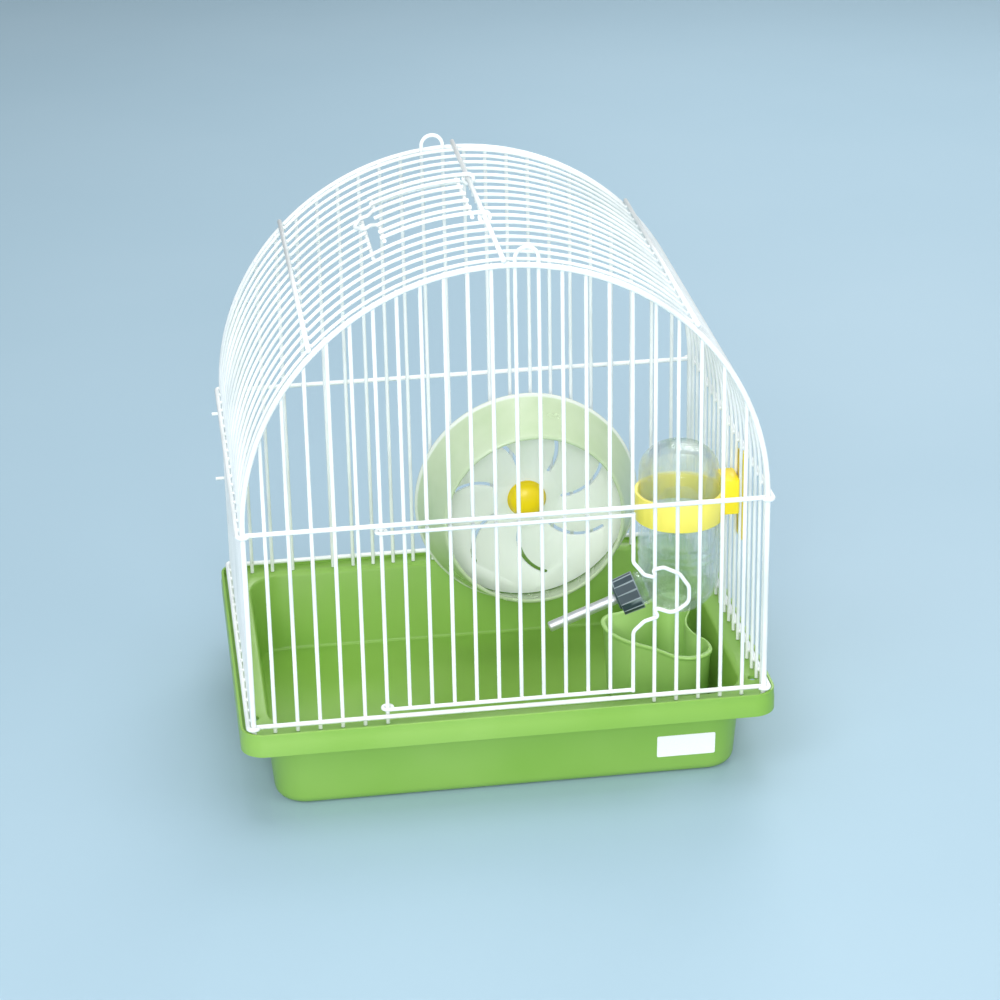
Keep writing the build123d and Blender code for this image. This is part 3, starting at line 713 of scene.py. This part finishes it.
def sheetWelds():
    places = []
    touch = wires["arch"] + wires["sheet"]
    for row in range(wires["rows"]):
        y = wires["firstSheet"] + row * wires["sheetStep"]
        for side in (-1, 1):
            out = Vector((side, 0, 0))
            for height in (wires["base"], wires["spring"]):
                places.append((Vector((side * touch, y, height)), out))
        for angle in (-45, 0, 45):
            turn = math.radians(angle)
            places.append((archPoint(touch, turn, y), Vector((math.sin(turn), 0, math.cos(turn)))))
    return weldSpots("sheetWelds", "cage", places)


def doorWelds():
    y = -(wires["doorPlane"] - wires["bar"])
    places = []
    for index in wires["doorBars"]:
        for height in (wires["doorBottom"], wires["doorTop"]):
            places.append((Vector((barX(index), y, height)), Vector((0, 1, 0))))
    return weldSpots("doorWelds", "front_door", places)


def crossWires():
    # the lengthwise wires; those at the sides have each end curled round the arch
    bm = bmesh.new()
    reach = wires["frame"] + wires["rail"] + 0.02 * mm
    sideAngles = [math.radians(side * 90) for side in (-1, 1)]
    stations = [(math.radians(angle), wires["spring"]) for angle in (-90, -45, 0, 45, 90)]
    stations += [(angle, wires["base"]) for angle in sideAngles]
    for angle, height in stations:
        out = Vector((math.sin(angle), 0, math.cos(angle)))
        middle = Vector((0, 0, height)) + out * wires["frameArch"]
        path = []
        for side in (-1, 1):
            along = Vector((0, side, 0))
            centre = middle + along * wires["framePlane"]
            if angle in sideAngles:
                curl = arc(centre, out * reach, along.cross(out), -wires["curl"], wires["curlSteps"])
            else:
                curl = [centre + out * reach + along * wires["frame"]]
            path += list(reversed(curl)) if side < 0 else curl
        runWire(bm, path, wires["rail"])
    return newPiece("crossWires", bm, "cage", "white_wire", ("ridge_wire", "shoulder_wires", "side_wires"))


panelWelds()
sheetWelds()
doorWelds()
crossWires()
print("wires ready")


# floor, lights and camera

studio = {
    "floorColour": "A9C3D2", "floorSize": 8.0, "world": "EAF2F6", "worldPower": 0.42,
    "cameraAt": (-0.1702, -1.3420, 0.7258), "yaw": math.radians(7.605), "pitch": math.radians(24.044),
    "roll": math.radians(-1.077), "lens": 102.9,
    "lights": (
        ("keyLight", (-0.9, -1.1, 1.5), 1.1, 13.0), ("fillLight", (1.3, -0.8, 1.0), 1.4, 6.0),
        ("frontLight", (-0.25, -1.75, 0.75), 0.8, 22.0),
        ("topLight", (0.1, 0.2, 1.9), 1.3, 12.0), ("backLight", (0.6, 1.3, 1.0), 0.9, 8.0)),
}


def floorFinish():
    finish = Finish("paleFloor", IOR=1.4)
    cloud = finish.noise(3.0, 3.0)
    colour = finish.mix(cloud, tint(studio["floorColour"]), tint("9FBBCB"))
    finish.bump(finish.noise(220.0, 2.0), 0.05, 0.001)
    return finish.use(colour, 0.55 + 0.1 * cloud)


def layFloor():
    bm = bmesh.new()
    bmesh.ops.create_grid(bm, x_segments=1, y_segments=1, size=studio["floorSize"] / 2)
    mesh = bpy.data.meshes.new("studioFloor")
    bm.to_mesh(mesh)
    bm.free()
    ground = bpy.data.objects.new("studioFloor", mesh)
    bpy.context.scene.collection.objects.link(ground)
    mesh.materials.append(floorFinish())


def hangLight(name, place, size, power):
    light = bpy.data.lights.new(name, "AREA")
    light.shape = "DISK"
    light.size = size
    light.energy = power
    lamp = bpy.data.objects.new(name, light)
    bpy.context.scene.collection.objects.link(lamp)
    lamp.location = place
    lamp.rotation_mode = "QUATERNION"
    lamp.rotation_quaternion = (Vector((0, 0, 0.12)) - Vector(place)).to_track_quat("-Z", "Y")


def setCamera():
    yaw, pitch, roll = studio["yaw"], studio["pitch"], studio["roll"]
    ahead = Vector((math.sin(yaw) * math.cos(pitch), math.cos(yaw) * math.cos(pitch), -math.sin(pitch)))
    right = Vector((math.cos(yaw), -math.sin(yaw), 0))
    up = right.cross(ahead)
    across = math.cos(roll) * right + math.sin(roll) * up
    above = -math.sin(roll) * right + math.cos(roll) * up
    turn = Matrix((across, above, -ahead)).transposed().to_4x4()
    data = bpy.data.cameras.new("mainCamera")
    data.lens = studio["lens"]
    data.sensor_width = 36
    camera = bpy.data.objects.new("mainCamera", data)
    bpy.context.scene.collection.objects.link(camera)
    camera.matrix_world = Matrix.Translation(studio["cameraAt"]) @ turn
    bpy.context.scene.camera = camera


layFloor()
for settings in studio["lights"]:
    hangLight(*settings)
world = bpy.data.worlds.new("paleWorld")
bpy.context.scene.world = world
world.use_nodes = True
background = world.node_tree.nodes["Background"]
background.inputs["Color"].default_value = tint(studio["world"])
background.inputs["Strength"].default_value = studio["worldPower"]
bpy.context.scene.view_settings.view_transform = "Standard"
setCamera()
print("studio ready")
